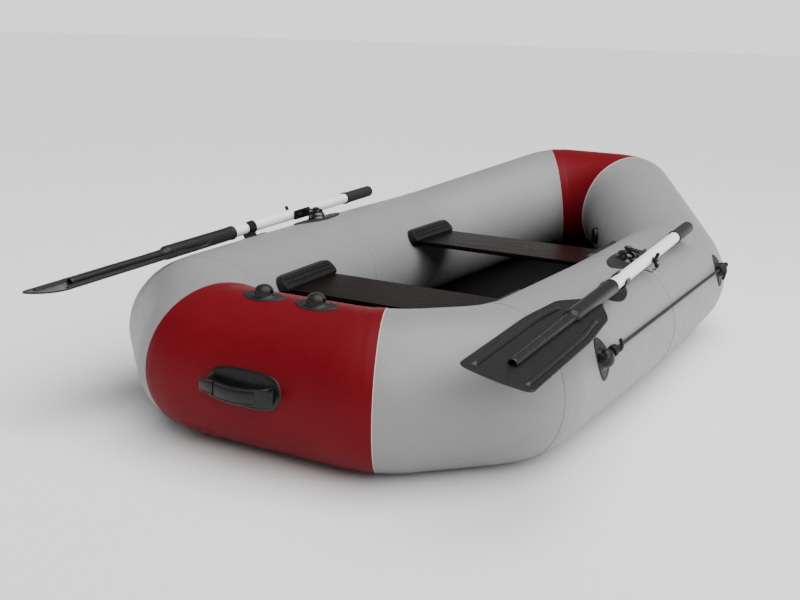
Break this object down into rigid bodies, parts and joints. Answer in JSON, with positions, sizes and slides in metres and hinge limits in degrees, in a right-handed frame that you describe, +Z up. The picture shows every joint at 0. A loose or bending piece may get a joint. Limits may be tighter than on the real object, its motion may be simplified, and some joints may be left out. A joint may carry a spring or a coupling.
{
  "type": "inflatable dinghy",
  "caption": "Inflatable rowing dinghy: grey tube ring with dark red stern and bow, two dark plywood benches, two oars on swivelling oarlocks, a lifeline and a carrying handle.",
  "frame": {"origin": "Centre of the overall box in X and Y, on the ground in Z.", "axes": "+Z up, +Y towards the bow (the raised end), +X to starboard."},
  "size_m": [1.2102, 2.2627, 0.46],
  "materials": {
    "grey_pvc": "coated fabric, semi-matt, mid grey",
    "red_pvc": "coated fabric, semi-matt, dark red",
    "floor_pvc": "coated fabric, matt, near black",
    "plywood": "stained and varnished plywood, very dark brown",
    "black_rubber": "moulded rubber, matt black",
    "black_plastic": "moulded plastic, satin black",
    "steel": "plain stainless steel",
    "aluminium_tube": "pale satin anodised tube",
    "grip_rubber": "soft brown-black sleeve",
    "rope": "braided black cord"
  },
  "bodies": {
    "hull": {"stern_tube": "red_pvc", "stern_corner_starboard": "grey_pvc", "stern_corner_port": "grey_pvc", "side_tube_aft_starboard": "grey_pvc", "side_tube_aft_port": "grey_pvc", "side_tube_fore_starboard": "grey_pvc", "side_tube_fore_port": "grey_pvc", "bow_corner_starboard": "grey_pvc", "bow_corner_port": "grey_pvc", "bow_tube": "red_pvc", "bulkhead_starboard": "grey_pvc", "bulkhead_port": "grey_pvc", "floor_main": "floor_pvc", "floor_bow": "floor_pvc", "stern_bench_holder_starboard": "black_rubber", "stern_bench_holder_port": "black_rubber", "rowing_bench_holder_starboard": "black_rubber", "rowing_bench_holder_port": "black_rubber", "handle_plate": "black_rubber", "carrying_handle": "black_rubber", "stern_eyelets": "black_rubber", "side_eyelets_starboard": "black_rubber", "side_eyelets_port": "black_rubber", "lifeline": "rope", "lifeline_knots": "rope", "bow_valve_body": "black_plastic", "bow_valve_spring": "steel", "stern_valve_body": "black_plastic", "stern_valve_spring": "steel", "oarlock_base_starboard": "black_rubber", "oarlock_pin_starboard": "steel", "oar_clip_starboard": "black_plastic", "nut_tether_starboard": "rope", "oarlock_base_port": "black_rubber", "oarlock_pin_port": "steel", "oar_clip_port": "black_plastic", "nut_tether_port": "rope"},
    "stern_bench_board": {"stern_bench": "plywood"},
    "rowing_bench_board": {"rowing_bench": "plywood"},
    "bow_valve_plunger": {"bow_valve_stem": "black_plastic"},
    "bow_valve_lid": {"bow_valve_cap": "black_plastic"},
    "stern_valve_plunger": {"stern_valve_stem": "black_plastic"},
    "stern_valve_lid": {"stern_valve_cap": "black_plastic"},
    "yoke_starboard": {"oarlock_yoke_starboard": "black_plastic"},
    "oar_starboard": {"oar_bracket_starboard": "black_plastic", "oar_bolt_starboard": "steel", "oar_shaft_starboard": "aluminium_tube", "oar_grip_starboard": "grip_rubber", "oar_blade_starboard": "black_plastic"},
    "nut_starboard": {"wing_nut_starboard": "black_plastic"},
    "yoke_port": {"oarlock_yoke_port": "black_plastic"},
    "oar_port": {"oar_bracket_port": "black_plastic", "oar_bolt_port": "steel", "oar_shaft_port": "aluminium_tube", "oar_grip_port": "grip_rubber", "oar_blade_port": "black_plastic"},
    "nut_port": {"wing_nut_port": "black_plastic"}
  },
  "joints": [
    {"name": "stern_bench_slide", "type": "slide", "parent": "hull", "child": "stern_bench_board", "axis": [0, 1, 0], "range_m": [-0.03, 0]},
    {"name": "rowing_bench_slide", "type": "slide", "parent": "hull", "child": "rowing_bench_board", "axis": [0, 1, 0], "range_m": [-0.025, 0.005]},
    {"name": "bow_valve_plunge", "type": "slide", "parent": "hull", "child": "bow_valve_plunger", "axis": [0.86, 0.5104, 0], "range_m": [0, 0.004], "stiffness_N_per_m": 500, "springref_m": -0.004, "deforming": ["bow_valve_spring"]},
    {"name": "bow_valve_lid_turn", "type": "hinge", "parent": "hull", "child": "bow_valve_lid", "pos_m": [0.14078, 0.63333, 0.22926], "axis": [-0.86, -0.5104, 0], "range_deg": [0, 90]},
    {"name": "stern_valve_plunge", "type": "slide", "parent": "hull", "child": "stern_valve_plunger", "axis": [0.6993, -0.6993, -0.1483], "range_m": [0, 0.004], "stiffness_N_per_m": 500, "springref_m": -0.004, "deforming": ["stern_valve_spring"]},
    {"name": "stern_valve_lid_turn", "type": "hinge", "parent": "hull", "child": "stern_valve_lid", "pos_m": [0.20068, -0.7072, 0.18948], "axis": [-0.6993, 0.6993, 0.1483], "range_deg": [0, 90]},
    {"name": "oar_dip_starboard", "type": "hinge", "parent": "hull", "child": "yoke_starboard", "pos_m": [0.46008, -0.12064, 0.33833], "axis": [0, 1, 0], "range_deg": [-12, 8], "deforming": ["oar_clip_starboard", "nut_tether_starboard"]},
    {"name": "oar_swing_starboard", "type": "hinge", "parent": "yoke_starboard", "child": "oar_starboard", "pos_m": [0.46303, -0.12064, 0.35507], "axis": [0.1736, 0, 0.9848], "range_deg": [0, 100], "deforming": ["oar_clip_starboard", "nut_tether_starboard"]},
    {"name": "wing_nut_turn_starboard", "type": "hinge", "parent": "oar_starboard", "child": "nut_starboard", "pos_m": [0.54029, -0.14839, 0.34002], "axis": [0.9999, 0.0105, 0], "continuous": true, "deforming": ["nut_tether_starboard"]},
    {"name": "oar_dip_port", "type": "hinge", "parent": "hull", "child": "yoke_port", "pos_m": [-0.46008, -0.12064, 0.33833], "axis": [0, -1, 0], "range_deg": [-12, 8], "deforming": ["oar_clip_port", "nut_tether_port"]},
    {"name": "oar_swing_port", "type": "hinge", "parent": "yoke_port", "child": "oar_port", "pos_m": [-0.46303, -0.12064, 0.35507], "axis": [0.1736, 0, -0.9848], "range_deg": [0, 100], "deforming": ["oar_clip_port", "nut_tether_port"]},
    {"name": "wing_nut_turn_port", "type": "hinge", "parent": "oar_port", "child": "nut_port", "pos_m": [-0.54029, -0.14839, 0.34002], "axis": [0.9999, -0.0105, 0], "continuous": true, "deforming": ["nut_tether_port"]}
  ]
}
